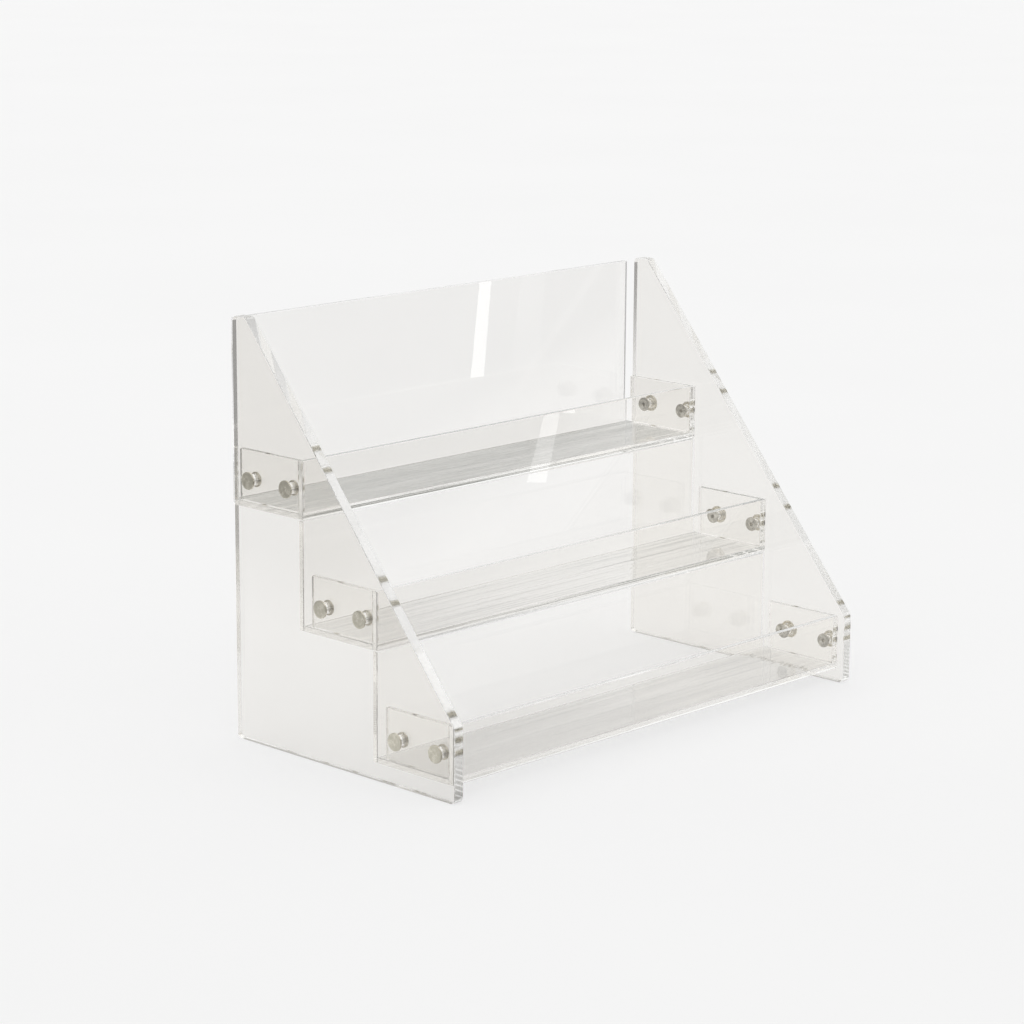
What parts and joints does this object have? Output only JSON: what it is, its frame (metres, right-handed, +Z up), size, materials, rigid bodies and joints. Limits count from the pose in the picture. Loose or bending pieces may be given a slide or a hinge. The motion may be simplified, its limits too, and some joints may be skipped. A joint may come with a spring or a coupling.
{
  "type": "brochure rack",
  "caption": "Clear sheet countertop brochure rack with stepped open trays between sloping side panels, held by disc-headed binding posts.",
  "frame": {"origin": "on the counter, at the centre of the outline", "axes": "+X to the reader's right, -Y towards the reader, +Z up"},
  "size_m": [0.3096, 0.166, 0.22],
  "materials": {
    "side_sheet": "polished clear cast acrylic sheet, 6 mm, flame-polished edges",
    "tray_sheet": "polished clear cast acrylic sheet, 3 mm, cemented at the corners",
    "post_nickel": "warm satin nickel plate, faced disc head on a turned barrel",
    "screw_nickel": "warm bright nickel plate, disc head with a hexagon socket"
  },
  "bodies": {
    "root": {"side_panel_left": "side_sheet", "side_panel_right": "side_sheet", "bottom_lip": "tray_sheet", "bottom_floor": "tray_sheet", "bottom_back_panel": "tray_sheet", "bottom_end_plate_left": "tray_sheet", "bottom_end_plate_right": "tray_sheet", "post_bottom_left_front": "post_nickel", "screw_bottom_left_front": "screw_nickel", "post_bottom_left_rear": "post_nickel", "screw_bottom_left_rear": "screw_nickel", "post_bottom_right_front": "post_nickel", "screw_bottom_right_front": "screw_nickel", "post_bottom_right_rear": "post_nickel", "screw_bottom_right_rear": "screw_nickel", "middle_lip": "tray_sheet", "middle_floor": "tray_sheet", "middle_back_panel": "tray_sheet", "middle_end_plate_left": "tray_sheet", "middle_end_plate_right": "tray_sheet", "post_middle_left_front": "post_nickel", "screw_middle_left_front": "screw_nickel", "post_middle_left_rear": "post_nickel", "screw_middle_left_rear": "screw_nickel", "post_middle_right_front": "post_nickel", "screw_middle_right_front": "screw_nickel", "post_middle_right_rear": "post_nickel", "screw_middle_right_rear": "screw_nickel", "top_lip": "tray_sheet", "top_floor": "tray_sheet", "top_back_panel": "tray_sheet", "top_end_plate_left": "tray_sheet", "top_end_plate_right": "tray_sheet", "post_top_left_front": "post_nickel", "screw_top_left_front": "screw_nickel", "post_top_left_rear": "post_nickel", "screw_top_left_rear": "screw_nickel", "post_top_right_front": "post_nickel", "screw_top_right_front": "screw_nickel", "post_top_right_rear": "post_nickel", "screw_top_right_rear": "screw_nickel"}
  },
  "joints": []
}
